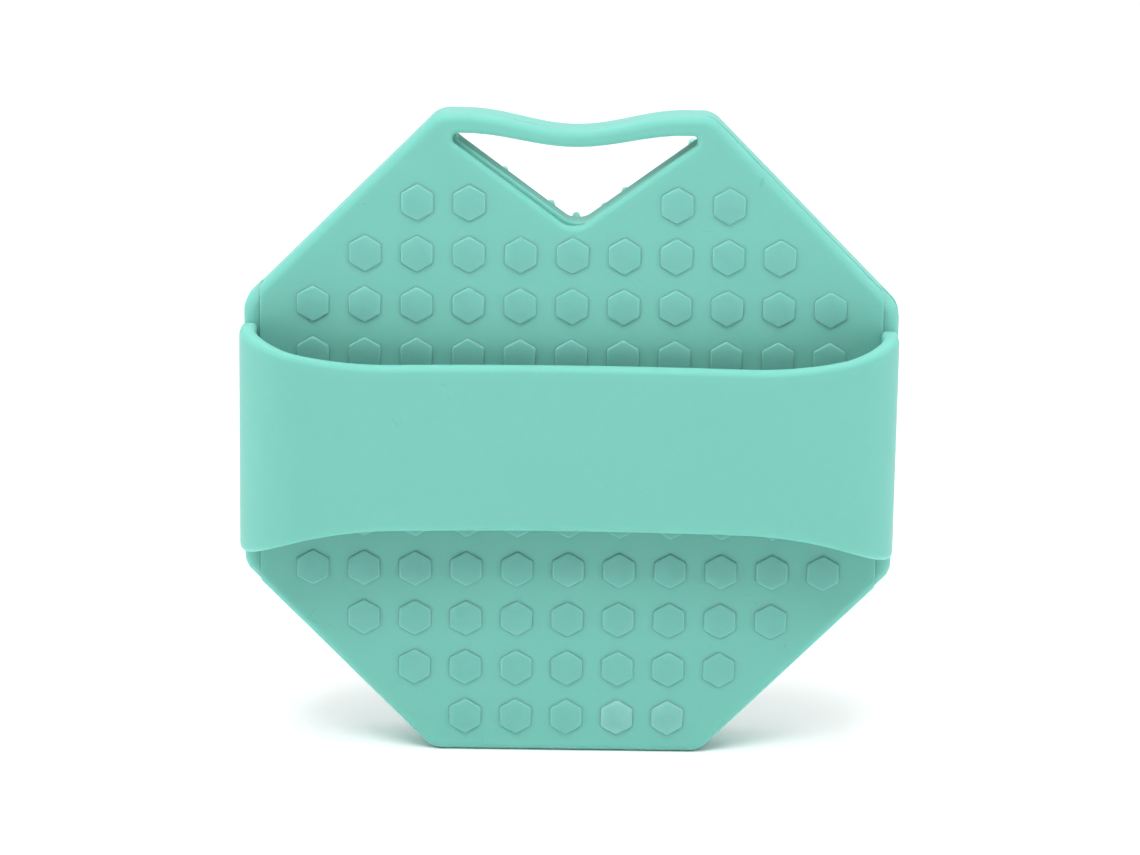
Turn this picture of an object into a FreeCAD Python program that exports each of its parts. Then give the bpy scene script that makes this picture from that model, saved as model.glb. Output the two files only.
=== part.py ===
import FreeCAD, Part
import math
import os

# Octagonal silicone scrubber that stands on its flat lower edge.
# Frame: +X to the right, +Z up towards the hanging opening, -Y towards the hand strap,
# +Y towards the bristles. The origin is under the middle of the object, on the surface it stands on.

V = FreeCAD.Vector

# Pad
ACROSS_FLATS = 120.0
HALF = ACROSS_FLATS / 2
HALF_SIDE = HALF * math.tan(math.radians(22.5))
CORNER_RADIUS = 4.0
BACK_PLATE_THICK = 2.2
FRONT_BODY_THICK = 7.8
PAD_THICK = BACK_PLATE_THICK + FRONT_BODY_THICK
BACK_EDGE_ROUND = 1.5
FRONT_EDGE_ROUND = 1.0

# Top edge: a shallow dip between two flat shoulders
DIP_HALF_WIDTH = 20.0
DIP_DEPTH = 2.8

# Hanging opening: a triangle that points down, under the dip
OPENING_HALF_WIDTH = 25.0
OPENING_TOP = HALF - 3.6
OPENING_DIP = 2.3
OPENING_POINT = 39.3
OPENING_CORNER_RADIUS = 1.2
OPENING_POINT_RADIUS = 3.0
OPENING_LIP_ROUND = 0.9

# Hexagonal grip studs on the back face
STUD_ACROSS_FLATS = 6.0
STUD_PITCH = 9.45
STUD_HEIGHT = 0.5
STUD_EDGE_ROUND = 0.3
STUD_FIRST_ROW = 15.4
STUD_HIDDEN_ROW = 5.13

# Bristles on the front face
BRISTLE_LENGTH = 8.0
BRISTLE_BASE_RADIUS = 0.95
BRISTLE_RADIUS = 0.75
BRISTLE_TIP_RADIUS = 0.4
BRISTLE_TIP_LENGTH = 0.5
BRISTLE_PITCH_X = 4.9
BRISTLE_PITCH_Z = 2.55
BRISTLE_FIRST_ROW = 0.45
BRISTLE_EDGE_GAP = 2.0
BRISTLE_OPENING_GAP = 1.2
CONTACT_BRISTLES = ((0, 1), (4, -21), (11, -9), (11, 9), (6, 17))

# Hand strap: it stands highest at its shoulders and bows in towards the pad between them
STRAP_RISE = 13.0
STRAP_BOW = 4.0
STRAP_THICK = 3.0
STRAP_HALF_WIDTH = 15.4
STRAP_SHOULDER_RADIUS = 9.0
STRAP_ROOT_UP = 21.2
STRAP_ROOT_DOWN = 20.5
STRAP_FLARE_END = 32.0
BAND_HALF_LENGTH = 50.0

# Root bands of the strap, bonded into rebates in the upright sides
ROOT_WIDTH = STRAP_THICK
ROOT_SET_BACK = 0.4
ROOT_DEPTH = 7.0

# Places along Y: the whole depth is centred on the origin
DEPTH = STRAP_RISE + PAD_THICK + BRISTLE_LENGTH
Y_STRAP = -DEPTH / 2
Y_BACK = Y_STRAP + STRAP_RISE
Y_SEAM = Y_BACK + BACK_PLATE_THICK
Y_FRONT = Y_BACK + PAD_THICK
Z_MIDDLE = HALF

OUT = "parts"


def at(x, z, y=0.0):
    """A point given from the middle of the pad, raised to the standing height."""
    return V(x, y, Z_MIDDLE + z)


def s_curve(start, end):
    """Two tangent arcs that join two level stretches at different heights."""
    run = end.x - start.x
    drop = end.z - start.z
    radius = (run * run + drop * drop) / (4 * abs(drop))
    quarter = math.asin(abs(run) / 2 / radius) / 2
    step = V(math.copysign(radius * math.sin(quarter), run), 0,
             math.copysign(radius * (1 - math.cos(quarter)), drop))
    middle = (start + end) * 0.5
    return [Part.Arc(start, start + step, middle).toShape(),
            Part.Arc(middle, end - step, end).toShape()]


def lines(points):
    """Straight edges through the points, in order."""
    return [Part.makeLine(a, b) for a, b in zip(points, points[1:])]


def prism(edges, y, depth):
    """A solid with a flat outline in the XZ plane, from y to y + depth."""
    face = Part.Face(Part.Wire(edges))
    face.translate(V(0, y, 0))
    return face.extrude(V(0, depth, 0))


def block(x0, x1, y0, y1, z0, z1):
    """A box between two corners, with z counted from the middle of the pad."""
    return Part.makeBox(x1 - x0, y1 - y0, z1 - z0, at(x0, z0, y0))


def edges_where(shape, test):
    """The edges whose points, sampled along their length, all pass the test."""
    found = []
    for edge in shape.Edges:
        first, last = edge.ParameterRange
        samples = [edge.valueAt(first + (last - first) * k / 4) for k in range(5)]
        if all(test(p) for p in samples):
            found.append(edge)
    return found


def runs_along_y(edge):
    """True for an edge that runs straight through the thickness."""
    a, b = edge.Vertexes[0].Point, edge.Vertexes[-1].Point
    return abs(a.x - b.x) < 1e-6 and abs(a.z - b.z) < 1e-6


def round_corner_near(shape, x, z, radius):
    """Rounds the edge through the thickness that is nearest to (x, z)."""
    target = at(x, z)
    upright = [e for e in shape.Edges if runs_along_y(e)]
    nearest = min(upright, key=lambda e: math.hypot(e.Vertexes[0].X - target.x,
                                                    e.Vertexes[0].Z - target.z))
    return shape.makeFillet(radius, [nearest])


# Pad outline and opening

def octagon(y, depth):
    """The octagon with its dipped top edge and rounded corners."""
    corners = [(HALF_SIDE, HALF), (HALF, HALF_SIDE), (HALF, -HALF_SIDE), (HALF_SIDE, -HALF),
               (-HALF_SIDE, -HALF), (-HALF, -HALF_SIDE), (-HALF, HALF_SIDE), (-HALF_SIDE, HALF)]
    bottom = at(0, HALF - DIP_DEPTH)
    left = at(-DIP_HALF_WIDTH, HALF)
    right = at(DIP_HALF_WIDTH, HALF)
    edges = lines([right] + [at(x, z) for x, z in corners] + [left])
    edges += s_curve(left, bottom) + s_curve(bottom, right)
    solid = prism(edges, y, depth)
    for x, z in corners:
        solid = round_corner_near(solid, x, z, CORNER_RADIUS)
    return solid


def opening(y, depth):
    """The triangular hole, as a solid to cut away."""
    low = at(0, OPENING_POINT)
    left = at(-OPENING_HALF_WIDTH, OPENING_TOP)
    right = at(OPENING_HALF_WIDTH, OPENING_TOP)
    dip_left = at(-DIP_HALF_WIDTH, OPENING_TOP)
    dip_right = at(DIP_HALF_WIDTH, OPENING_TOP)
    dip_low = at(0, OPENING_TOP - OPENING_DIP)
    edges = lines([dip_right, right, low, left, dip_left])
    edges += s_curve(dip_left, dip_low) + s_curve(dip_low, dip_right)
    solid = prism(edges, y, depth)
    solid = round_corner_near(solid, 0, OPENING_POINT, OPENING_POINT_RADIUS)
    for side in (-1, 1):
        solid = round_corner_near(solid, side * OPENING_HALF_WIDTH, OPENING_TOP, OPENING_CORNER_RADIUS)
    return solid


def flat_face(shape, y):
    """The flat face that lies at depth y."""
    return next(f for f in shape.Faces if abs(f.BoundBox.YMin - y) < 1e-4 and abs(f.BoundBox.YMax - y) < 1e-4)


def rebates():
    """The space that the strap's root bands take out of the upright sides."""
    wide = 5.0
    reach = HALF_SIDE + wide
    inner = HALF - ROOT_WIDTH
    y1 = Y_BACK + ROOT_SET_BACK + ROOT_DEPTH
    right = block(inner, HALF + wide, Y_BACK - wide, y1, -reach, reach)
    left = block(-HALF - wide, -inner, Y_BACK - wide, y1, -reach, reach)
    return right.fuse(left)


def moulding(y, depth, face_y, edge_round, lip_round):
    """One layer of the pad, with the outer edge and the opening's edge rounded on the face at face_y."""
    solid = octagon(y, depth).cut(opening(y - 1, depth + 2))
    solid = solid.makeFillet(edge_round, flat_face(solid, face_y).OuterWire.Edges)
    face = flat_face(solid, face_y)
    lip = [edge for wire in face.Wires if not wire.isSame(face.OuterWire) for edge in wire.Edges]
    return solid.makeFillet(lip_round, lip).cut(rebates())


def back_plate():
    """The thin back moulding that carries the grip studs."""
    return moulding(Y_BACK, BACK_PLATE_THICK, Y_BACK, BACK_EDGE_ROUND, OPENING_LIP_ROUND)


def front_body():
    """The thick front moulding that the bristles grow from."""
    return moulding(Y_SEAM, FRONT_BODY_THICK, Y_FRONT, FRONT_EDGE_ROUND, OPENING_LIP_ROUND)


# Grip studs

def stud():
    """One hexagonal stud with a point up, centred on the origin, its top towards -Y."""
    circumradius = STUD_ACROSS_FLATS / 2 / math.cos(math.radians(30))
    ring = [V(circumradius * math.sin(math.radians(60 * k)), 0, circumradius * math.cos(math.radians(60 * k)))
            for k in range(7)]
    solid = Part.Face(Part.makePolygon(ring)).extrude(V(0, -STUD_HEIGHT, 0))
    top = edges_where(solid, lambda p: abs(p.y + STUD_HEIGHT) < 1e-6)
    return solid.makeFillet(STUD_EDGE_ROUND, top)


def stud_rows():
    """The rows of studs from top to bottom: (part of the face, height, columns)."""
    rows = [("middle", side * STUD_HIDDEN_ROW, range(-5, 6)) for side in (1, -1)]
    for step, reach in enumerate((5, 5, 4)):
        rows.append(("upper", STUD_FIRST_ROW + step * STUD_PITCH, range(-reach, reach + 1)))
    rows.append(("upper", STUD_FIRST_ROW + 3 * STUD_PITCH, (-3, -2, 2, 3)))
    for step, reach in enumerate((5, 5, 4, 3, 2)):
        rows.append(("lower", -STUD_FIRST_ROW - step * STUD_PITCH, range(-reach, reach + 1)))
    return rows


def stud_groups():
    """The studs above, under and below the strap, each group in one node."""
    groups = {}
    for name, z, columns in stud_rows():
        for column in columns:
            place = at(column * STUD_PITCH, z, Y_BACK)
            groups.setdefault(name, []).append(stud().translated(place))
    return groups


# Bristles

def bristle():
    """One tapered bristle with a blunt tip, standing on the origin towards +Y."""
    shoulder = BRISTLE_LENGTH - BRISTLE_TIP_LENGTH
    stem = Part.makeCone(BRISTLE_BASE_RADIUS, BRISTLE_RADIUS, shoulder, V(0, 0, 0), V(0, 1, 0))
    tip = Part.makeCone(BRISTLE_RADIUS, BRISTLE_TIP_RADIUS, BRISTLE_TIP_LENGTH, V(0, shoulder, 0), V(0, 1, 0))
    return stem.fuse(tip)


def on_front(x, z):
    """True where a bristle has room: inside the outline and clear of the opening."""
    room = HALF - BRISTLE_EDGE_GAP
    if max(abs(x), abs(z)) > room or abs(x) + abs(z) > room * math.sqrt(2):
        return False
    slope = (OPENING_TOP - OPENING_POINT) / OPENING_HALF_WIDTH
    margin = BRISTLE_OPENING_GAP * math.hypot(1, slope)
    return z < OPENING_POINT + slope * abs(x) - margin


def bristle_places():
    """The staggered grid of bristles over the front face."""
    rows = int(HALF / BRISTLE_PITCH_Z)
    columns = int(HALF / BRISTLE_PITCH_X) + 1
    for row in range(-rows - 1, rows + 1):
        shift = 0.5 * ((row + 1) % 2)
        for column in range(-columns, columns + 1):
            x, z = (column + shift) * BRISTLE_PITCH_X, BRISTLE_FIRST_ROW + row * BRISTLE_PITCH_Z
            if on_front(x, z):
                yield x, z


def is_contact(x, z):
    """The few bristles, near the rim and at the middle, that stand for the whole mat in contact."""
    column, row = round(x / BRISTLE_PITCH_X, 3), round((z - BRISTLE_FIRST_ROW) / BRISTLE_PITCH_Z)
    return (abs(column), row) in CONTACT_BRISTLES


def bristle_groups():
    """The bristles in bands across the front face, each band in one node."""
    third = HALF / 3
    one = bristle()
    groups = {}
    for x, z in bristle_places():
        name = "lower" if z < -third else "upper" if z > third else "middle"
        if is_contact(x, z):
            name = "contact"
        groups.setdefault(name, []).append(one.translated(at(x, z, Y_FRONT)))
    return groups


# Hand strap

def arch():
    """The strap's section along its length, tall enough to be trimmed to the flare."""
    tall = HALF_SIDE
    foot = Y_BACK + ROOT_SET_BACK
    bend = HALF - STRAP_SHOULDER_RADIUS
    y_bend = Y_STRAP + STRAP_SHOULDER_RADIUS
    tilt = 2 * math.atan(STRAP_BOW / bend)
    bow_centre = V(0, y_bend - bend / math.tan(tilt), 0)

    def skin(radius):
        """One side of the strap from foot to foot, for a shoulder of the radius."""
        bow_middle = bow_centre + V(0, bend / math.sin(tilt) - radius, 0)
        edges = []
        ends = []
        feet = []
        for side in (-1, 1):
            centre = V(side * bend, y_bend, 0)
            turns = (0, (math.pi / 2 + tilt) / 2, math.pi / 2 + tilt)
            points = [centre + V(side * math.cos(turn), -math.sin(turn), 0) * radius for turn in turns]
            feet.append(V(points[0].x, foot, 0))
            ends.append(points[2])
            edges += lines([feet[-1], points[0]]) + [Part.Arc(*points).toShape()]
        return edges + [Part.Arc(ends[0], bow_middle, ends[1]).toShape()], feet

    outer, outer_feet = skin(STRAP_SHOULDER_RADIUS)
    inner, inner_feet = skin(STRAP_SHOULDER_RADIUS - STRAP_THICK)
    soles = [Part.makeLine(a, b) for a, b in zip(outer_feet, inner_feet)]
    face = Part.Face(Part.Wire(Part.__sortEdges__(outer + inner + soles)))
    face.translate(at(0, -tall))
    return face.extrude(V(0, 0, 2 * tall))


def rising_arc(level_end, tip):
    """An arc that leaves a level stretch smoothly and ends at the tip."""
    run = tip.x - level_end.x
    rise = tip.z - level_end.z
    radius = (run * run + rise * rise) / (2 * abs(rise))
    half_turn = math.asin(abs(run) / radius) / 2
    step = V(math.copysign(radius * math.sin(half_turn), run), 0,
             math.copysign(radius * (1 - math.cos(half_turn)), rise))
    return Part.Arc(level_end, level_end + step, tip).toShape()


def flare():
    """The strap's outline seen from the back: narrow in the middle, wider at both roots."""
    far = HALF + 1
    edges = []
    for height, root in ((STRAP_HALF_WIDTH, STRAP_ROOT_UP), (-STRAP_HALF_WIDTH, -STRAP_ROOT_DOWN)):
        edges += lines([at(-STRAP_FLARE_END, height), at(STRAP_FLARE_END, height)])
        for side in (-1, 1):
            edges.append(rising_arc(at(side * STRAP_FLARE_END, height), at(side * HALF, root)))
            edges += lines([at(side * HALF, root), at(side * far, root)])
    for side in (-1, 1):
        edges += lines([at(side * far, STRAP_ROOT_UP), at(side * far, -STRAP_ROOT_DOWN)])
    return prism(Part.__sortEdges__(edges), Y_STRAP - 1, STRAP_RISE + 2)


def strap_pieces():
    """The bowed band that the hand slides under, and the shoulder at each end of it."""
    strap = arch().common(flare())
    far = HALF + 1
    tall = HALF_SIDE

    def part_between(x0, x1):
        return strap.common(block(x0, x1, Y_STRAP - 1, Y_BACK + 2, -tall, tall))

    return {"strap_band": part_between(-BAND_HALF_LENGTH, BAND_HALF_LENGTH),
            "strap_shoulder_left": part_between(-far, -BAND_HALF_LENGTH),
            "strap_shoulder_right": part_between(BAND_HALF_LENGTH, far)}


def root_band(side):
    """The end of the strap that is bonded into one upright side, following the outline."""
    inner, outer = sorted((side * (HALF - ROOT_WIDTH), side * (HALF + 1)))
    y0 = Y_BACK + ROOT_SET_BACK
    return octagon(y0, ROOT_DEPTH).common(block(inner, outer, y0, y0 + ROOT_DEPTH, -HALF, HALF))


def write(name, shapes):
    """Writes one node's solids to its STEP file."""
    solids = [solid for shape in shapes for solid in shape.Solids]
    shape = solids[0] if len(solids) == 1 else Part.makeCompound(solids)
    shape.exportStep(os.path.join(OUT, name + ".step"))
    box = shape.BoundBox
    print(f"{name:24s} {len(solids):4d} solids {shape.Volume / 1000:8.2f} cm3 valid {shape.isValid()} "
          f"x {box.XMin:6.2f}..{box.XMax:6.2f} y {box.YMin:6.2f}..{box.YMax:6.2f} "
          f"z {box.ZMin:6.2f}..{box.ZMax:6.2f}")


def main():
    os.makedirs(OUT, exist_ok=True)
    write("back_plate", [back_plate()])
    write("front_body", [front_body()])
    for name, shapes in stud_groups().items():
        write("grip_studs_" + name, shapes)
    for name, shapes in bristle_groups().items():
        write("bristles_" + name, shapes)
    for name, shape in strap_pieces().items():
        write(name, [shape])
    write("strap_root_left", [root_band(-1)])
    write("strap_root_right", [root_band(1)])


main()
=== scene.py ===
# %% [markdown]
# A silicone scrubber is two soft mouldings and a strap, all in one mint green. This lesson models
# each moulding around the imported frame, which says where every part lies and how the strap moves.
# The frame comes first, because every size and place below is read from it.

# %% Load the frame
import bpy
import bmesh
import math
import random
from mathutils import Matrix, Vector


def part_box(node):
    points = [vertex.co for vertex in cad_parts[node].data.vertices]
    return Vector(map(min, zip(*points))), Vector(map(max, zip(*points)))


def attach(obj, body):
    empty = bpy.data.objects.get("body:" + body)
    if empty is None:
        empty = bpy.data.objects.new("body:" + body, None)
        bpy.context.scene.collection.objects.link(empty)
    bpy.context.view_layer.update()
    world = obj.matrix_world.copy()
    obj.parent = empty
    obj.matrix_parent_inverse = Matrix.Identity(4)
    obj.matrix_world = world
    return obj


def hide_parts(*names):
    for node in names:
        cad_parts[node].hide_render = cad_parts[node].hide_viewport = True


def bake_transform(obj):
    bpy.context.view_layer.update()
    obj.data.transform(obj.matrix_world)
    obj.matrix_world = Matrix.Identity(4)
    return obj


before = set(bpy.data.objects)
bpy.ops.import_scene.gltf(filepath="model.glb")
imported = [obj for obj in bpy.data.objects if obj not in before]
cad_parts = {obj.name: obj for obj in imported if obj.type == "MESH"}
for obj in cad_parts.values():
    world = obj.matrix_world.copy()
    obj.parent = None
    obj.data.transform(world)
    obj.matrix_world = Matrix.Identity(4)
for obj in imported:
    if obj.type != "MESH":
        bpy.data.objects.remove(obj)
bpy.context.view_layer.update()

bpy.ops.object.select_all(action="DESELECT")

# %% [markdown]
# The pad is a regular octagon that stands on one flat side. Its width, its height and the depths
# of its layers come from the boxes of the CAD nodes, so a change in the frame carries through.

# %% Sizes read from the frame
MM = 0.001
TOUCHING = 0.01 * MM
back_low, back_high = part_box("back_plate")
front_low, front_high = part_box("front_body")
strap_low, strap_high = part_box("strap_band")
root_low, root_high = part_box("strap_root_right")
bristle_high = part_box("bristles_middle")[1]

HALF = (front_high.x - front_low.x) / 2
HALF_SIDE = HALF * math.tan(math.radians(22.5))
Z_MIDDLE = (front_high.z + front_low.z) / 2
Y_BACK, Y_SEAM, Y_FRONT = back_low.y, back_high.y, front_high.y
Y_STRAP, Y_STRAP_INSIDE = strap_low.y, strap_high.y
Y_TIPS = bristle_high.y
print(f"octagon {2 * HALF / MM:.1f} mm across flats, pad {(Y_FRONT - Y_BACK) / MM:.1f} mm thick")

# %% [markdown]
# Shaping by hand means picking edges or faces and running an operator on them. With no window the
# picking is done in code: a test looks at where an edge or face lies and which way it points.

# %% Helpers for shaping a mesh
def enter(obj):
    """Opens one object in edit mode with nothing picked."""
    bpy.ops.object.select_all(action="DESELECT")
    obj.select_set(True)
    bpy.context.view_layer.objects.active = obj
    bpy.ops.object.mode_set(mode="EDIT")
    bpy.ops.mesh.select_all(action="DESELECT")


def leave():
    """Back to object mode."""
    bpy.ops.object.mode_set(mode="OBJECT")


def pick(obj, kind, test):
    """Picks the VERT, EDGE or FACE elements that pass the test, and says how many there are."""
    bpy.ops.mesh.select_mode(type=kind)
    bpy.ops.mesh.select_all(action="DESELECT")
    mesh = bmesh.from_edit_mesh(obj.data)
    elements = {"VERT": mesh.verts, "EDGE": mesh.edges, "FACE": mesh.faces}[kind]
    picked = [e for e in elements if test(e)]
    for e in picked:
        e.select_set(True)
    mesh.select_flush_mode()
    bmesh.update_edit_mesh(obj.data)
    return len(picked)


def middle(edge):
    """The point halfway along an edge."""
    return (edge.verts[0].co + edge.verts[1].co) / 2


def along(edge):
    """The direction of an edge, as absolute values so that its sense doesn't matter."""
    direction = (edge.verts[1].co - edge.verts[0].co).normalized()
    return Vector((abs(direction.x), abs(direction.y), abs(direction.z)))


def is_rim(edge, y):
    """True where the flat face at depth y turns into a side wall."""
    if len(edge.link_faces) != 2 or abs(middle(edge).y - y) > TOUCHING:
        return False
    level = sorted(abs(face.normal.y) for face in edge.link_faces)
    return level[0] < 0.5 and level[1] > 0.99


def finish_transform(obj):
    """Puts the object's place, turn and size into its mesh, so that its origin stays at zero."""
    bpy.ops.object.select_all(action="DESELECT")
    obj.select_set(True)
    bpy.context.view_layer.objects.active = obj
    bpy.ops.object.transform_apply(location=True, rotation=True, scale=True)


def smooth(obj, degrees):
    """Smooth shading, with a crease wherever two faces meet at more than the angle."""
    bpy.ops.object.select_all(action="DESELECT")
    obj.select_set(True)
    bpy.context.view_layer.objects.active = obj
    bpy.ops.object.shade_smooth_by_angle(angle=math.radians(degrees))


def flatten_shading(obj):
    """Lets the large faces set the shading, so that a flat face stays flat up to its round edge."""
    weighted = obj.modifiers.new("weighted_normals", "WEIGHTED_NORMAL")
    weighted.keep_sharp = True
    bpy.ops.object.modifier_apply(modifier=weighted.name)


def describe(obj):
    """Prints a piece's size and how many faces it has."""
    size = [round(v / MM, 1) for v in obj.dimensions]
    print(f"{obj.name}: {size} mm, {len(obj.data.polygons)} faces")

# %% [markdown]
# The camera stands a little above the pad and looks straight at the strap side through a long
# lens, so the octagon keeps its shape. The small roll and shift are the way a camera on a tripod
# is never quite level.

# %% Camera
CAMERA_AT = Vector((-4.92, -686.06, 218.32)) * MM
CAMERA_AZIMUTH, CAMERA_ELEVATION, CAMERA_ROLL = -0.4125, 13.04, 0.854
LENS_MM = 120.48
SHIFT_UP = 0.0105

camera = bpy.data.objects.new("camera", bpy.data.cameras.new("camera"))
bpy.context.scene.collection.objects.link(camera)
turn = Matrix.Rotation(math.radians(CAMERA_AZIMUTH), 4, "Z")
turn = turn @ Matrix.Rotation(math.radians(90 - CAMERA_ELEVATION), 4, "X")
turn = turn @ Matrix.Rotation(math.radians(CAMERA_ROLL), 4, "Z")
camera.matrix_world = Matrix.Translation(CAMERA_AT) @ turn
camera.data.lens = LENS_MM
camera.data.sensor_width = 36.0
camera.data.shift_y = SHIFT_UP
bpy.context.scene.camera = camera
print("camera at", [round(v, 3) for v in camera.location])

# %% [markdown]
# A product like this is lit by a wide soft sky and a white room. A key light from the front and
# above models the strap, two lamps at the sides draw the edges of the studs, and a weak one behind
# reaches the walls of the opening. The floor is plain and pale and throws light back up.

# %% Floor, lamps and room light
bpy.context.scene.view_settings.view_transform = "Standard"
world = bpy.data.worlds.new("room")
bpy.context.scene.world = world
world.use_nodes = True
world.node_tree.nodes["Background"].inputs["Color"].default_value = (1.0, 1.0, 1.0, 1.0)
world.node_tree.nodes["Background"].inputs["Strength"].default_value = 0.44

bpy.ops.mesh.primitive_plane_add(size=60.0, location=(0, 0, 0))
floor = bpy.context.object
floor.name = "floor"
floor_finish = bpy.data.materials.new("pale_floor")
floor_finish.use_nodes = True
floor_shader = floor_finish.node_tree.nodes["Principled BSDF"]
floor_shader.inputs["Base Color"].default_value = (0.97, 0.97, 0.97, 1.0)
floor_shader.inputs["Roughness"].default_value = 0.9
floor_shader.inputs["Specular IOR Level"].default_value = 0.1
floor.data.materials.append(floor_finish)


def soft_box(name, place, aim, size, power):
    """A square area light that points from its place to an aim."""
    lamp = bpy.data.objects.new(name, bpy.data.lights.new(name, "AREA"))
    bpy.context.scene.collection.objects.link(lamp)
    lamp.data.shape = "SQUARE"
    lamp.data.size = size
    lamp.data.energy = power
    lamp.visible_camera = False
    lamp.location = place
    lamp.rotation_euler = (Vector(aim) - Vector(place)).to_track_quat("-Z", "Y").to_euler()
    return lamp


SKY_STRENGTH, SKY_SPREAD = 1.55, 90
sky = bpy.data.objects.new("soft_sky", bpy.data.lights.new("soft_sky", "SUN"))
bpy.context.scene.collection.objects.link(sky)
sky.data.energy = SKY_STRENGTH
sky.data.angle = math.radians(SKY_SPREAD)
soft_box("key", (-0.1, -0.55, 1.15), (0, 0, 0.06), 0.7, 9.6)
soft_box("left", (-1.1, -0.22, 0.35), (0, 0, 0.06), 0.7, 2.5)
soft_box("right", (1.1, -0.22, 0.35), (0, 0, 0.06), 0.7, 2.5)
soft_box("rim", (0, 0.7, 0.75), (0, 0, 0.1), 0.6, 0.8)

# %% [markdown]
# Silicone is one soft plastic all through: satin, slightly translucent, with a fine moulded grain
# and a faint unevenness that the mould leaves. One function makes the finish, and each piece
# changes only what differs. All patterns read Object coordinates, so they sit still on the mesh.

# %% A function for the silicone finish
def node(tree, kind, **settings):
    """Adds a node and sets its inputs by name, or its own settings where no input has the name."""
    made = tree.nodes.new(kind)
    for name, value in settings.items():
        words = name.replace("_", " ").title()
        if words in made.inputs:
            made.inputs[words].default_value = value
        else:
            setattr(made, name, value)
    return made


def product(tree, first, second):
    """The two values multiplied."""
    made = node(tree, "ShaderNodeMath", operation="MULTIPLY")
    tree.links.new(first, made.inputs[0])
    tree.links.new(second, made.inputs[1])
    return made.outputs["Value"]


def blend_colours(tree, share, under, over):
    """The colour under, with a plain colour laid over it by the share."""
    made = tree.nodes.new("ShaderNodeMix")
    made.data_type = "RGBA"
    made.inputs["B"].default_value = (*over, 1.0)
    tree.links.new(share, made.inputs["Factor"])
    tree.links.new(under, made.inputs["A"])
    return made.outputs["Result"]


def silicone(name, light, dark, grain, waviness, roughness, subsurface, specks):
    """Mint silicone: mottled colour, fine grain, soft waves, sparse specks and hairline scratches."""
    finish = bpy.data.materials.new(name)
    finish.use_nodes = True
    tree = finish.node_tree
    shader = tree.nodes["Principled BSDF"]
    place = tree.nodes.new("ShaderNodeTexCoord").outputs["Object"]
    link = tree.links.new

    cloud = node(tree, "ShaderNodeTexNoise", scale=55.0, detail=4.0, roughness=0.55)
    link(place, cloud.inputs["Vector"])
    mottle = tree.nodes.new("ShaderNodeMix")
    mottle.data_type = "RGBA"
    mottle.inputs["A"].default_value = (*dark, 1.0)
    mottle.inputs["B"].default_value = (*light, 1.0)
    link(cloud.outputs["Fac"], mottle.inputs["Factor"])

    dust = node(tree, "ShaderNodeTexVoronoi", scale=400.0, randomness=1.0)
    link(place, dust.inputs["Vector"])
    speck = node(tree, "ShaderNodeMapRange", from_min=0.03, from_max=0.07, to_min=1.0, to_max=0.0)
    link(dust.outputs["Distance"], speck.inputs["Value"])
    rare = node(tree, "ShaderNodeMapRange", from_min=0.86, from_max=0.9, to_min=0.0, to_max=specks)
    link(dust.outputs["Color"], rare.inputs["Value"])
    spot = product(tree, speck.outputs["Result"], rare.outputs["Result"])

    cracks = node(tree, "ShaderNodeTexVoronoi", feature="DISTANCE_TO_EDGE", scale=70.0)
    link(place, cracks.inputs["Vector"])
    hair = node(tree, "ShaderNodeMapRange", from_min=0.002, from_max=0.006, to_min=1.0, to_max=0.0)
    link(cracks.outputs["Distance"], hair.inputs["Value"])
    where = node(tree, "ShaderNodeTexNoise", scale=160.0, detail=1.0)
    link(place, where.inputs["Vector"])
    short = node(tree, "ShaderNodeMapRange", from_min=0.66, from_max=0.7, to_min=0.0, to_max=0.6 * specks)
    link(where.outputs["Fac"], short.inputs["Value"])
    scratch = product(tree, hair.outputs["Result"], short.outputs["Result"])

    spotted = blend_colours(tree, spot, mottle.outputs["Result"], (0.05, 0.2, 0.17))
    scratched = blend_colours(tree, scratch, spotted, (0.08, 0.3, 0.26))
    link(scratched, shader.inputs["Base Color"])

    gloss = node(tree, "ShaderNodeMapRange", to_min=roughness - 0.05, to_max=roughness + 0.06)
    link(cloud.outputs["Fac"], gloss.inputs["Value"])
    link(gloss.outputs["Result"], shader.inputs["Roughness"])

    fine = node(tree, "ShaderNodeTexNoise", scale=2600.0, detail=3.0, roughness=0.6)
    link(place, fine.inputs["Vector"])
    grain_bump = node(tree, "ShaderNodeBump", strength=grain, distance=0.0001)
    link(fine.outputs["Fac"], grain_bump.inputs["Height"])
    slow = node(tree, "ShaderNodeTexNoise", scale=38.0, detail=2.0, roughness=0.5)
    link(place, slow.inputs["Vector"])
    wave_bump = node(tree, "ShaderNodeBump", strength=waviness, distance=0.001)
    link(slow.outputs["Fac"], wave_bump.inputs["Height"])
    link(grain_bump.outputs["Normal"], wave_bump.inputs["Normal"])
    link(wave_bump.outputs["Normal"], shader.inputs["Normal"])

    shader.inputs["IOR"].default_value = 1.41
    shader.inputs["Specular IOR Level"].default_value = 0.15
    shader.inputs["Subsurface Weight"].default_value = subsurface
    shader.inputs["Subsurface Radius"].default_value = (0.5, 1.0, 0.9)
    shader.inputs["Subsurface Scale"].default_value = 0.0025
    return finish


LIGHT_MINT = (0.187, 0.502, 0.435)
DARK_MINT = (0.177, 0.485, 0.419)
pad_silicone = silicone("mint_pad_silicone", LIGHT_MINT, DARK_MINT, 0.12, 0.10, 0.46, 0.8, 0.5)
strap_silicone = silicone("mint_strap_silicone", LIGHT_MINT, DARK_MINT, 0.08, 0.12, 0.42, 0.8, 0.3)
stud_silicone = silicone("mint_stud_silicone", LIGHT_MINT, DARK_MINT, 0.16, 0.05, 0.48, 0.9, 0.2)
bristle_silicone = silicone("mint_bristle_silicone", (0.26, 0.66, 0.58), (0.24, 0.62, 0.54),
                            0.05, 0.0, 0.4, 0.9, 0.0)
print("materials", [m.name for m in bpy.data.materials])

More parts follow.
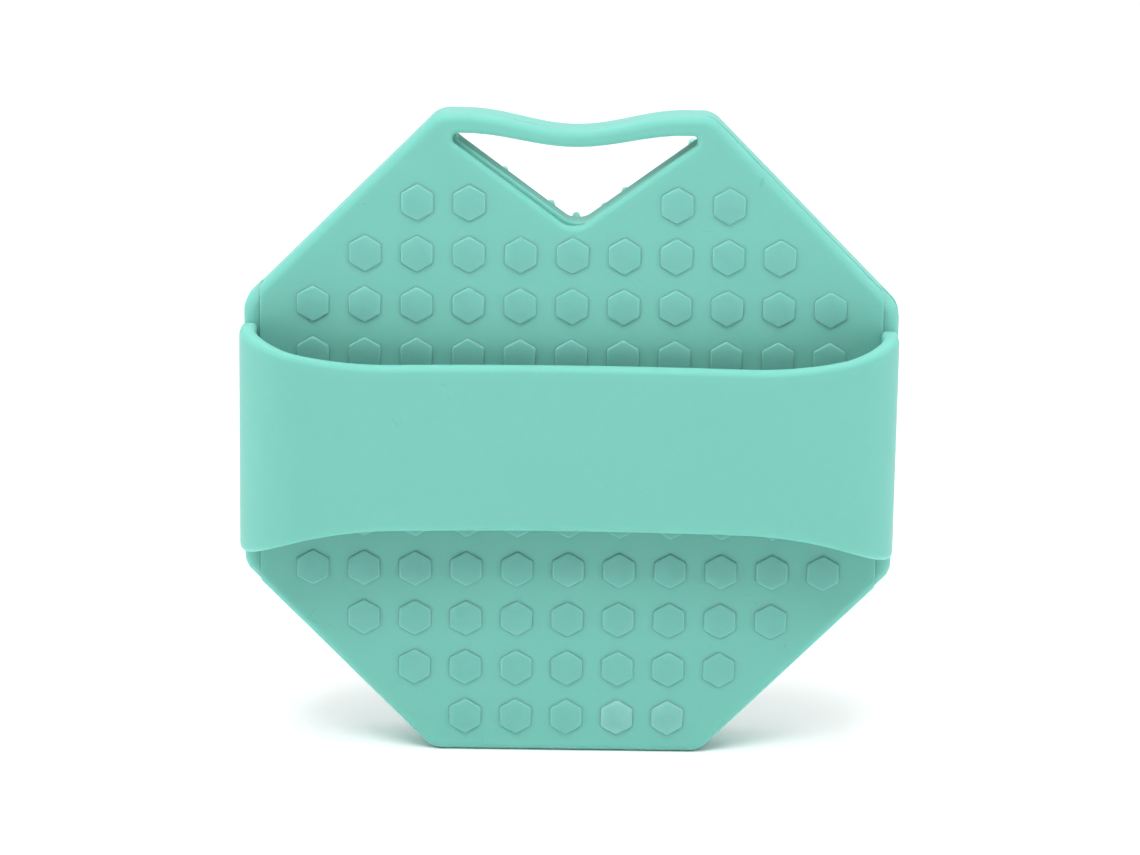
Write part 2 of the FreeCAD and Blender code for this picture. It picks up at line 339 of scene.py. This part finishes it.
# %% [markdown]
# The top edge of the pad dips in the middle, and the hanging opening under it follows the same
# line. A cosine gives a dip that starts and ends level. Both outlines use this one curve.

# %% The curve of the top edge
DIP_CUTS = 47
DIP_HALF_WIDTH = 20 * MM
DIP_DEPTH = 2.8 * MM
OPENING_DIP = 2.3 * MM
OPENING_HALF_WIDTH = 24.4 * MM
OPENING_END = 22.15 * MM
OPENING_TOP = HALF - 3.6 * MM
OPENING_POINT = 38.5 * MM
POINT_ROUND, END_ROUND = 4.0 * MM, 0.8 * MM


def dip(x, depth):
    """How far the curve lies below its level ends at x."""
    if abs(x) >= DIP_HALF_WIDTH:
        return 0.0
    return depth * (1 + math.cos(math.pi * x / DIP_HALF_WIDTH)) / 2


def sink_top_edge(obj, z, depth):
    """Divides the level top of a prism across its width and lowers it along the dip."""
    enter(obj)
    pick(obj, "EDGE", lambda e: along(e).x > 0.99 and abs(middle(e).z - z) < TOUCHING)
    bpy.ops.mesh.subdivide(number_cuts=DIP_CUTS)
    leave()
    for vertex in obj.data.vertices:
        if abs(vertex.co.z - z) < TOUCHING:
            vertex.co.z -= dip(vertex.co.x, depth)

# %% [markdown]
# The opening is a triangle that points down, with blunt ends. It is easiest to model the air: a
# three-sided cylinder of the right width and height loses its two sharp ends to the bisect
# operator, its edges are rounded, and it is cut out of the two pad layers with a Boolean modifier.

# %% The cutter for the hanging opening
def is_end(edge):
    """True for an edge at either end of the opening."""
    return abs(middle(edge).x) > OPENING_END - TOUCHING


def opening_cutter(y0, y1):
    """A solid in the shape of the hanging opening, from depth y0 to y1."""
    width = OPENING_HALF_WIDTH / math.cos(math.radians(30))
    height = (OPENING_TOP - OPENING_POINT) / 1.5
    bpy.ops.mesh.primitive_cylinder_add(vertices=3, radius=1.0, depth=y1 - y0,
                                        location=(0, (y0 + y1) / 2, Z_MIDDLE + OPENING_TOP - height / 2),
                                        rotation=(math.radians(90), 0, 0), scale=(width, height, 1.0))
    cutter = bpy.context.object
    cutter.name = "opening_cutter"
    finish_transform(cutter)
    lowest = min(v.co.z for v in cutter.data.vertices)
    pointed_down = sum(1 for v in cutter.data.vertices if v.co.z < lowest + TOUCHING) == 2
    if not pointed_down:
        cutter.rotation_euler = (0, math.pi, 0)
        cutter.location = (0, 0, 2 * (Z_MIDDLE + OPENING_TOP - height / 2))
        finish_transform(cutter)
    half_angle = math.atan2(OPENING_HALF_WIDTH, OPENING_TOP - OPENING_POINT)
    level = Z_MIDDLE + OPENING_TOP - TOUCHING
    enter(cutter)
    for side in (-1, 1):
        bpy.ops.mesh.select_all(action="SELECT")
        bpy.ops.mesh.bisect(plane_co=(side * OPENING_END, 0, 0), plane_no=(side, 0, 0),
                            use_fill=True, clear_outer=True)
    pick(cutter, "EDGE", lambda e: along(e).y > 0.99 and abs(middle(e).x) < 1 * MM)
    bpy.ops.mesh.bevel(offset=POINT_ROUND / math.tan(half_angle), segments=12, clamp_overlap=False)
    pick(cutter, "EDGE", lambda e: along(e).y > 0.99 and is_end(e) and middle(e).z > level)
    bpy.ops.mesh.bevel(offset=END_ROUND, segments=6, clamp_overlap=False)
    pick(cutter, "EDGE", lambda e: along(e).y > 0.99 and is_end(e) and middle(e).z < level - END_ROUND)
    bpy.ops.mesh.bevel(offset=END_ROUND * math.tan(half_angle / 2), segments=6, clamp_overlap=False)
    leave()
    sink_top_edge(cutter, Z_MIDDLE + OPENING_TOP, OPENING_DIP)
    return cutter


CUT_PAST = 5 * MM
cutter = opening_cutter(Y_BACK - CUT_PAST, Y_FRONT + CUT_PAST)
describe(cutter)

# %% [markdown]
# Each pad layer starts as an eight-sided cylinder lying on its side. Its upright corners are
# bevelled round, its top edge is sunk, and the bisect operator splits it into upright strips, so
# that no face has to run round the opening once that is cut. Then the rim of the outer face gets a
# wide soft round. The halves of a mould never meet quite exactly, so the front layer and its
# opening sit a hair to the right of the back layer, and the seam shows.

# %% A function for one layer of the pad
def in_opening(point):
    """True for a point on the wall of the opening and not on the outside of the pad."""
    x, z = abs(point.x), point.z - Z_MIDDLE
    above_point = z > OPENING_POINT - 1 * MM
    below_bar = z < OPENING_TOP - dip(x, OPENING_DIP) + 1 * MM
    return above_point and below_bar and x < OPENING_HALF_WIDTH


def octagon(name, y0, y1):
    """A standing octagon with rounded corners and a sunk top edge, from depth y0 to y1."""
    circumradius = HALF / math.cos(math.radians(22.5))
    bpy.ops.mesh.primitive_cylinder_add(vertices=8, radius=circumradius, depth=y1 - y0,
                                        location=(0, (y0 + y1) / 2, Z_MIDDLE),
                                        rotation=(math.radians(90), math.radians(22.5), 0))
    made = bpy.context.object
    made.name = name
    finish_transform(made)
    enter(made)
    pick(made, "EDGE", lambda e: along(e).y > 0.99)
    bpy.ops.mesh.bevel(offset=CORNER_ROUND * math.tan(math.radians(22.5)), segments=8, clamp_overlap=False)
    leave()
    sink_top_edge(made, Z_MIDDLE + HALF, DIP_DEPTH)
    enter(made)
    for step in range(-2, 3):
        bpy.ops.mesh.select_all(action="SELECT")
        bpy.ops.mesh.bisect(plane_co=(step * STRIP_WIDTH, 0, 0), plane_no=(1, 0, 0))
    leave()
    return made


def pad_layer(name, y0, y1, face_y, edge_round, lip_round):
    """An octagonal layer from y0 to y1 whose outer face lies at face_y."""
    layer = octagon(name, y0, y1)
    cut = layer.modifiers.new("cut_opening", "BOOLEAN")
    cut.operation = "DIFFERENCE"
    cut.solver = "EXACT"
    cut.object = cutter
    bpy.ops.object.modifier_apply(modifier=cut.name)
    seam_y = y0 + y1 - face_y
    enter(layer)
    pick(layer, "EDGE", lambda e: is_rim(e, face_y) and not in_opening(middle(e)))
    bpy.ops.mesh.bevel(offset=edge_round, segments=7, clamp_overlap=False)
    pick(layer, "EDGE", lambda e: is_rim(e, face_y) and in_opening(middle(e)))
    bpy.ops.mesh.bevel(offset=lip_round, segments=6, clamp_overlap=False)
    pick(layer, "EDGE", lambda e: is_rim(e, seam_y))
    bpy.ops.mesh.bevel(offset=SEAM_ROUND, segments=2, clamp_overlap=False)
    leave()
    return layer


CORNER_ROUND = 4.0 * MM
BACK_EDGE_ROUND, BACK_LIP_ROUND = 1.65 * MM, 1.0 * MM
FRONT_EDGE_ROUND, FRONT_LIP_ROUND = 1.0 * MM, 0.8 * MM
SEAM_ROUND = 0.07 * MM
MOULD_MISMATCH = 0.35 * MM
BACK_OPENING_MISMATCH, FRONT_OPENING_MISMATCH = 0.15 * MM, 0.55 * MM
FRONT_OPENING_RISE = 0.4 * MM
STRIP_WIDTH = 8 * MM
cutter.location.x = BACK_OPENING_MISMATCH
pad_back = pad_layer("pad_back", Y_BACK, Y_SEAM, Y_BACK, BACK_EDGE_ROUND, BACK_LIP_ROUND)
cutter.location = (FRONT_OPENING_MISMATCH, 0, FRONT_OPENING_RISE)
pad_front = pad_layer("pad_front", Y_SEAM, Y_FRONT, Y_FRONT, FRONT_EDGE_ROUND, FRONT_LIP_ROUND)
pad_front.location.x = MOULD_MISMATCH
finish_transform(pad_front)
describe(pad_back)
describe(pad_front)

# %% [markdown]
# The strap's ends are bonded into rebates in the pad's upright sides. The same Boolean cut takes
# the rebates out of both layers, a hair wider than the bands, so that a fine line shows.

# %% The rebates for the strap's ends
REBATE_GAP = 0.08 * MM


def rebate_cutter(side):
    """The space of one root band, a little larger all round and open to the outside."""
    x0, x1 = root_low.x - REBATE_GAP, root_high.x + CUT_PAST
    y0, y1 = Y_BACK - CUT_PAST, root_high.y + REBATE_GAP
    reach = HALF_SIDE + CUT_PAST
    bpy.ops.mesh.primitive_cube_add(size=1.0, location=(side * (x0 + x1) / 2, (y0 + y1) / 2, Z_MIDDLE),
                                    scale=(x1 - x0, y1 - y0, 2 * reach))
    made = bpy.context.object
    finish_transform(made)
    return made


for side in (-1, 1):
    tool = rebate_cutter(side)
    for layer in (pad_back, pad_front):
        bpy.ops.object.select_all(action="DESELECT")
        layer.select_set(True)
        bpy.context.view_layer.objects.active = layer
        cut = layer.modifiers.new("cut_rebate", "BOOLEAN")
        cut.operation = "DIFFERENCE"
        cut.solver = "EXACT"
        cut.object = tool
        bpy.ops.object.modifier_apply(modifier=cut.name)
    bpy.data.objects.remove(tool)
bpy.data.objects.remove(cutter)

for layer, node_name in ((pad_back, "back_plate"), (pad_front, "front_body")):
    smooth(layer, 40)
    flatten_shading(layer)
    layer.data.materials.clear()
    layer.data.materials.append(pad_silicone)
    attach(layer, "pad")
    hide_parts(node_name)
    describe(layer)

# %% [markdown]
# A root band fills each rebate and follows the same outline. So it is made from the same octagon:
# its rim is rolled over, and the bisect operator keeps only the strip at one side.

# %% The strap's root bands
ROOT_EDGE_ROUND = 2.2 * MM


def root_band(name, side):
    """The end of the strap in one upright side of the pad."""
    band = octagon(name, root_low.y, root_high.y)
    enter(band)
    pick(band, "EDGE", lambda e: is_rim(e, root_low.y))
    bpy.ops.mesh.bevel(offset=ROOT_EDGE_ROUND, segments=7, clamp_overlap=False)
    bpy.ops.mesh.select_all(action="SELECT")
    bpy.ops.mesh.bisect(plane_co=(side * root_low.x, 0, 0), plane_no=(side, 0, 0),
                        use_fill=True, clear_inner=True)
    leave()
    smooth(band, 40)
    flatten_shading(band)
    band.data.materials.append(strap_silicone)
    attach(band, "pad")
    describe(band)
    return band


for name, side in (("strap_root_band_left", -1), ("strap_root_band_right", 1)):
    band = root_band(name, side)
    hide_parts("strap_root_left" if side < 0 else "strap_root_right")

# %% [markdown]
# The strap is one sheet of silicone. It rises from each side, turns over a round shoulder and bows
# in towards the pad between the shoulders. A narrow upright grid is one end of it: the spin
# operator turns its edge round the shoulder and then, the other way, along the wide bow. Mirrored,
# widened towards the roots, thickened with Solidify and rounded along its edges, it is the strap.

# %% The strap
STRAP_THICK = 3.0 * MM
SHOULDER_ROUND = 9.0 * MM
STRAP_BOW = 4.0 * MM
STRAP_HALF_WIDTH = 15.4 * MM
ROOT_UP, ROOT_DOWN = 21.2 * MM, 20.5 * MM
FLARE_END = 32.0 * MM
STRAP_EDGE_ROUND = 1.25 * MM
STRAP_PULL = 0.4 * MM
BEND = HALF - SHOULDER_ROUND
Y_BEND = Y_STRAP + SHOULDER_ROUND
BOW_TILT = 2 * math.atan(STRAP_BOW / BEND)


def strap_reach(x, up):
    """The strap's half width at x, above or below its middle line: level, then one arc."""
    rise = (ROOT_UP if up else ROOT_DOWN) - STRAP_HALF_WIDTH
    run = HALF - FLARE_END
    radius = (run ** 2 + rise ** 2) / (2 * rise)
    past = max(0.0, min(run, abs(x) - FLARE_END))
    return STRAP_HALF_WIDTH + radius - math.sqrt(radius ** 2 - past ** 2)


def strap_sheet():
    """The outer skin of the strap, before it has any thickness."""
    foot = root_low.y
    bpy.ops.mesh.primitive_grid_add(x_subdivisions=3, y_subdivisions=12, size=1.0,
                                    location=(HALF, (foot + Y_BEND) / 2, Z_MIDDLE),
                                    rotation=(math.radians(90), 0, math.radians(90)))
    sheet = bpy.context.object
    sheet.name = "strap"
    sheet.scale = (foot - Y_BEND, 2 * STRAP_HALF_WIDTH, 1.0)
    finish_transform(sheet)
    enter(sheet)
    pick(sheet, "EDGE", lambda e: along(e).z > 0.99 and abs(middle(e).y - Y_BEND) < TOUCHING)
    bpy.ops.mesh.spin(steps=18, angle=math.pi / 2 + BOW_TILT, axis=(0, 0, 1),
                      center=(BEND, Y_BEND, Z_MIDDLE))
    end_x = BEND - SHOULDER_ROUND * math.sin(BOW_TILT)
    pick(sheet, "EDGE", lambda e: along(e).z > 0.99 and abs(middle(e).x - end_x) < TOUCHING)
    bpy.ops.mesh.spin(steps=26, angle=-BOW_TILT, axis=(0, 0, 1),
                      center=(0, Y_BEND - BEND / math.tan(BOW_TILT), Z_MIDDLE))
    leave()
    mirror = sheet.modifiers.new("other_half", "MIRROR")
    mirror.merge_threshold = TOUCHING
    bpy.ops.object.modifier_apply(modifier=mirror.name)
    enter(sheet)
    bpy.ops.mesh.select_all(action="SELECT")
    bpy.ops.mesh.remove_doubles(threshold=TOUCHING / 10)
    bpy.ops.mesh.normals_make_consistent(inside=False)
    leave()
    for vertex in sheet.data.vertices:
        share = (vertex.co.z - Z_MIDDLE) / STRAP_HALF_WIDTH
        vertex.co.z = Z_MIDDLE + share * strap_reach(vertex.co.x, share > 0)
    return sheet


strap = strap_sheet()
strap.location.x = -STRAP_PULL
finish_transform(strap)
describe(strap)
thick = strap.modifiers.new("thickness", "SOLIDIFY")
thick.thickness = STRAP_THICK
thick.offset = -1.0
thick.use_even_offset = True
bpy.ops.object.select_all(action="DESELECT")
strap.select_set(True)
bpy.context.view_layer.objects.active = strap
bpy.ops.object.modifier_apply(modifier=thick.name)

enter(strap)
picked = pick(strap, "EDGE", lambda e: along(e).z < 0.6 and len(e.link_faces) == 2
              and e.calc_face_angle(0.0) > math.radians(60))
bpy.ops.mesh.bevel(offset=STRAP_EDGE_ROUND, segments=5, clamp_overlap=False)
leave()
smooth(strap, 50)
flatten_shading(strap)
strap.data.materials.append(strap_silicone)
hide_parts("strap_band", "strap_shoulder_left", "strap_shoulder_right")
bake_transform(strap)
print("rounded strap edges", picked)
describe(strap)

# %% [markdown]
# A grip stud is a low hexagon with a point up. One is modelled from a six-sided cylinder whose
# corners and top edge are softened, because moulded silicone has no sharp edge, and then copied
# to its rows. The base is a little wider than the top, as a mould needs. Two studs in the lowest
# row get a painted highlight: a pale whitish glow of light laid into their colour.

# %% One grip stud
STUD_ACROSS_FLATS = 5.85 * MM
STUD_RADIUS = STUD_ACROSS_FLATS / 2 / math.cos(math.radians(30))
STUD_PITCH = 9.45 * MM
STUD_HEIGHT = 0.4 * MM
STUD_SINK = 0.15 * MM
STUD_CORNER_CUT, STUD_EDGE_ROUND = 0.25 * MM, 0.28 * MM
STUD_DRAFT = 1.025
STUD_FIRST_ROW = 15.4 * MM
STUD_HIDDEN_ROW = 5.13 * MM
# Painted highlight: the columns of the two lowest-row studs that get a whitish glow of light painted into
# their colour, with its strength.
HIGHLIGHTED_STUDS = ((1, 0.18), (2, 0.12))


def paint_stud_highlight(finish, x, z, strength):
    """A painted highlight: a pale whitish glow of light over one stud, weaker in its middle."""
    tree = finish.node_tree
    link = tree.links.new
    shader = tree.nodes["Principled BSDF"]
    plain = shader.inputs["Base Color"].links[0].from_socket
    place = tree.nodes.new("ShaderNodeTexCoord").outputs["Object"]
    reach = node(tree, "ShaderNodeVectorMath", operation="DISTANCE")
    link(place, reach.inputs[0])
    reach.inputs[1].default_value = (x - 0.5 * MM, Y_BACK, z - 0.4 * MM)
    edge = node(tree, "ShaderNodeMapRange", from_min=4.6 * MM, from_max=4.9 * MM, to_min=1.0, to_max=0.0)
    link(reach.outputs["Value"], edge.inputs["Value"])
    core = node(tree, "ShaderNodeMapRange", from_min=0.6 * MM, from_max=2.6 * MM, to_min=0.45, to_max=1.0)
    link(reach.outputs["Value"], core.inputs["Value"])
    cloud = node(tree, "ShaderNodeTexNoise", scale=500.0, detail=2.0)
    link(place, cloud.inputs["Vector"])
    patchy = node(tree, "ShaderNodeMapRange", from_min=0.3, from_max=0.7, to_min=0.5 * strength,
                  to_max=strength)
    link(cloud.outputs["Fac"], patchy.inputs["Value"])
    share = product(tree, edge.outputs["Result"], core.outputs["Result"])
    share = product(tree, share, patchy.outputs["Result"])
    # The pale colour of the painted highlight, laid over the stud's own colour by the share.
    link(blend_colours(tree, share, plain, (0.62, 0.86, 0.8)), shader.inputs["Base Color"])


# Paints the highlight onto the two studs in the lowest row.
for column, strength in HIGHLIGHTED_STUDS:
    lowest_row = Z_MIDDLE - STUD_FIRST_ROW - 4 * STUD_PITCH
    paint_stud_highlight(stud_silicone, column * STUD_PITCH, lowest_row, strength)


def make_stud():
    """A stud with its base on the plane y = 0 and its top towards -Y."""
    depth = STUD_HEIGHT + STUD_SINK
    bpy.ops.mesh.primitive_cylinder_add(vertices=6, radius=STUD_RADIUS, depth=depth,
                                        location=(0, STUD_SINK - depth / 2, 0),
                                        rotation=(math.radians(90), 0, 0))
    stud = bpy.context.object
    finish_transform(stud)
    enter(stud)
    pick(stud, "EDGE", lambda e: along(e).y > 0.99)
    bpy.ops.mesh.bevel(offset=STUD_CORNER_CUT, segments=1, clamp_overlap=False)
    pick(stud, "FACE", lambda f: f.normal.y > 0.9)
    bpy.ops.transform.resize(value=(STUD_DRAFT, 1.0, STUD_DRAFT), center_override=(0, 0, 0))
    pick(stud, "EDGE", lambda e: is_rim(e, -STUD_HEIGHT))
    bpy.ops.mesh.bevel(offset=STUD_EDGE_ROUND, segments=4, clamp_overlap=False)
    leave()
    smooth(stud, 60)
    return stud


stud = make_stud()
describe(stud)

# %% [markdown]
# Copies are placed with their own meshes and joined, one piece for each part of the face: above
# the strap, under it and below it. The middle rows are hidden by the strap and keep the same
# pitch across.

# %% Rows of grip studs
def copy_to(model, place):
    """A copy of the model with its own mesh, moved to its place."""
    made = model.copy()
    made.data = model.data.copy()
    made.data.transform(Matrix.Translation(place))
    bpy.context.scene.collection.objects.link(made)
    return made


def join(pieces, name):
    """Joins the pieces into one object with a name."""
    bpy.ops.object.select_all(action="DESELECT")
    for piece in pieces:
        piece.select_set(True)
    bpy.context.view_layer.objects.active = pieces[0]
    bpy.ops.object.join()
    joined = bpy.context.object
    joined.name = name
    return joined


def stud_rows():
    """The rows from top to bottom: (part of the face, height, columns)."""
    rows = [("middle", side * STUD_HIDDEN_ROW, range(-5, 6)) for side in (1, -1)]
    for step, reach in enumerate((5, 5, 4)):
        rows.append(("upper", STUD_FIRST_ROW + step * STUD_PITCH, range(-reach, reach + 1)))
    rows.append(("upper", STUD_FIRST_ROW + 3 * STUD_PITCH, (-3, -2, 2, 3)))
    for step, reach in enumerate((5, 5, 4, 3, 2)):
        rows.append(("lower", -STUD_FIRST_ROW - step * STUD_PITCH, range(-reach, reach + 1)))
    return rows


for part in ("upper", "middle", "lower"):
    places = [Vector((column * STUD_PITCH, Y_BACK, Z_MIDDLE + z))
              for name, z, columns in stud_rows() if name == part for column in columns]
    studs = join([copy_to(stud, place) for place in places], "studs_" + part)
    studs.data.materials.append(stud_silicone)
    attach(studs, "pad")
    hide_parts("grip_studs_" + part)
    describe(studs)
bpy.data.objects.remove(stud)

# %% [markdown]
# Over eight hundred bristles stand on the front face. One is a slim cone with a rounded tip and a
# few rings, so that it can lean. Each copy leans a little in its own direction, with the random
# numbers seeded, because soft bristles never stand quite parallel.

# %% One bristle
BRISTLE_BASE, BRISTLE_TOP = 0.95 * MM, 0.75 * MM
BRISTLE_PITCH_X, BRISTLE_PITCH_Z = 4.9 * MM, 2.55 * MM
BRISTLE_FIRST_ROW = 0.45 * MM
BRISTLE_EDGE_GAP, BRISTLE_OPENING_GAP = 2.0 * MM, 1.3 * MM
BRISTLE_LENGTH = Y_TIPS - Y_FRONT
BRISTLE_TIP_ROUND, BRISTLE_LEAN = 0.6 * MM, 0.12
EDGE_PLACES = ((0.7, 38.7), (-4.05, 41.0), (6.1, 40.6), (-12.9, 47.15), (21.9, 52.8))
EDGE_BRISTLES = [(x * MM, z * MM) for x, z in EDGE_PLACES]


def make_bristle():
    """A bristle with its base on the plane y = 0 and its tip towards +Y."""
    bpy.ops.mesh.primitive_cone_add(vertices=8, radius1=BRISTLE_BASE, radius2=BRISTLE_TOP,
                                    depth=BRISTLE_LENGTH, location=(0, BRISTLE_LENGTH / 2, 0),
                                    rotation=(math.radians(-90), 0, 0))
    bristle = bpy.context.object
    finish_transform(bristle)
    enter(bristle)
    pick(bristle, "EDGE", lambda e: along(e).y > 0.9)
    bpy.ops.mesh.subdivide(number_cuts=2)
    pick(bristle, "EDGE", lambda e: is_rim(e, BRISTLE_LENGTH))
    bpy.ops.mesh.bevel(offset=BRISTLE_TIP_ROUND, segments=2, clamp_overlap=False)
    leave()
    smooth(bristle, 70)
    return bristle


bristle = make_bristle()
describe(bristle)

# %% [markdown]
# The bristles stand in staggered rows that run right up to the edges, and leave the opening and
# the thin bar above it free.

# %% The mat of bristles
random.seed(7)


def on_front(x, z):
    """True where a bristle has room: inside the outline and clear of the opening."""
    room = HALF - BRISTLE_EDGE_GAP
    if max(abs(x), abs(z)) > room or abs(x) + abs(z) > room * math.sqrt(2):
        return False
    slope = (OPENING_TOP - OPENING_POINT) / OPENING_HALF_WIDTH
    return z < OPENING_POINT + slope * abs(x) - BRISTLE_OPENING_GAP * math.hypot(1, slope)


def bristle_places():
    """The staggered grid of places over the front face, with a few placed along the opening."""
    yield from EDGE_BRISTLES
    rows, columns = int(HALF / BRISTLE_PITCH_Z), int(HALF / BRISTLE_PITCH_X) + 1
    for row in range(-rows - 1, rows + 1):
        shift = 0.5 * ((row + 1) % 2)
        for column in range(-columns, columns + 1):
            x, z = (column + shift) * BRISTLE_PITCH_X, BRISTLE_FIRST_ROW + row * BRISTLE_PITCH_Z
            clear = min(math.hypot(x - a, z - b) for a, b in EDGE_BRISTLES) > 2 * BRISTLE_BASE
            if clear and on_front(x, z):
                yield x, z


def lean(obj, lean_x, lean_z):
    """Bends a bristle towards its tip by the two small amounts."""
    for vertex in obj.data.vertices:
        share = ((vertex.co.y - Y_FRONT) / BRISTLE_LENGTH) ** 2
        vertex.co.x += lean_x * share
        vertex.co.z += lean_z * share


bands = {"lower": [], "middle": [], "upper": []}
for x, z in bristle_places():
    band = "lower" if z < -HALF / 3 else "upper" if z > HALF / 3 else "middle"
    made = copy_to(bristle, Vector((x, Y_FRONT, Z_MIDDLE + z)))
    lean(made, random.gauss(0, BRISTLE_LEAN) * MM, random.gauss(0, BRISTLE_LEAN) * MM)
    bands[band].append(made)
for band, pieces in bands.items():
    count = len(pieces)
    mat = join(pieces, "bristle_mat_" + band)
    mat.data.materials.append(bristle_silicone)
    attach(mat, "pad")
    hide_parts("bristles_" + band)
    if band == "middle":
        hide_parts("bristles_contact")
    print(band, count, "bristles")
    describe(mat)
bpy.data.objects.remove(bristle)
